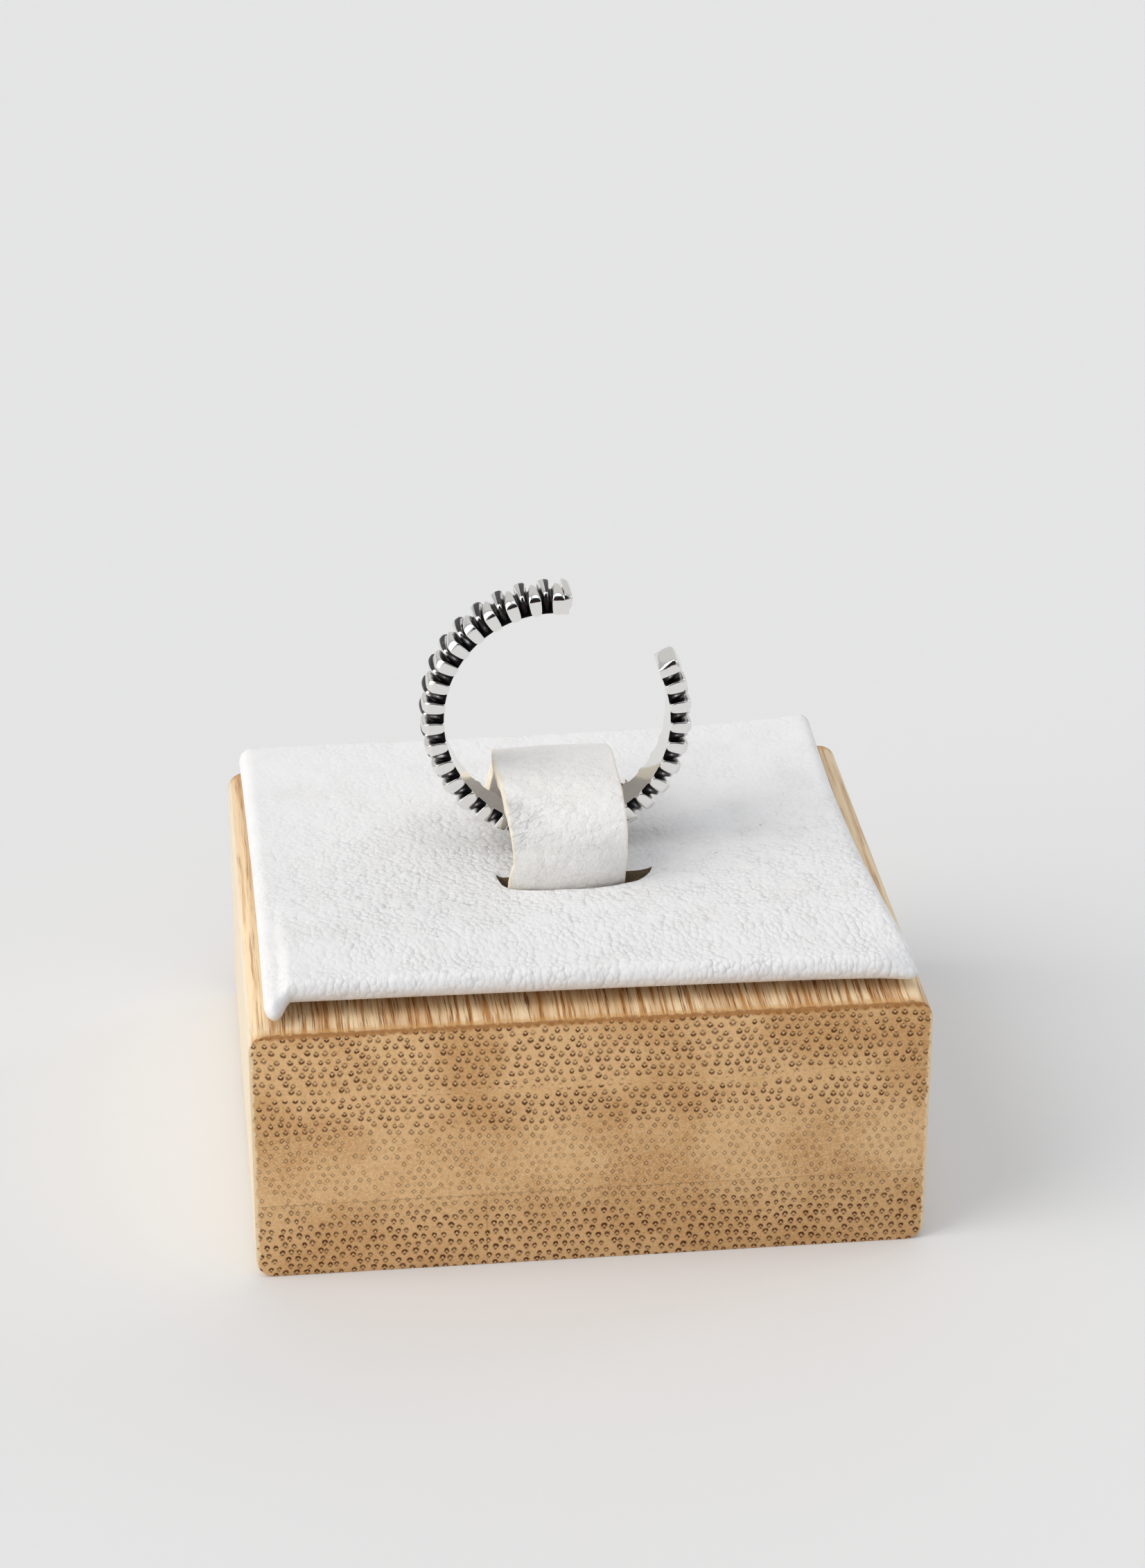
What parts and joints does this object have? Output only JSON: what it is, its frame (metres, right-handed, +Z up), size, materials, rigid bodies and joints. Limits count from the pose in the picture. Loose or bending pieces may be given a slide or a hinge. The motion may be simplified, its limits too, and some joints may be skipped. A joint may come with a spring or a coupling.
{
  "type": "open finger ring on leather strap display block",
  "caption": "Open silver finger ring of interlocking teeth, standing in a leather strap on a small leather-padded bamboo display block.",
  "frame": {"origin": "centre of the display block's base, on the surface it stands on", "axes": "+Z up; +X to the right along the block's long side, seen from the front; +Y to the back, along the ring's axis"},
  "size_m": [0.05, 0.043, 0.0445],
  "materials": {
    "oxidised_silver": "polished silver, with blackened recesses between the teeth",
    "strap_leather": "off-white split leather, cream at its cut edges and tan on its inner side",
    "pad_leather": "white leather with a fine pebbled grain",
    "bamboo": "satin laminated bamboo, dotted end grain on the front and back faces"
  },
  "bodies": {
    "root": {"ring_band": "oxidised_silver", "strap_loop": "strap_leather", "pad": "pad_leather", "display_block": "bamboo"}
  },
  "joints": []
}
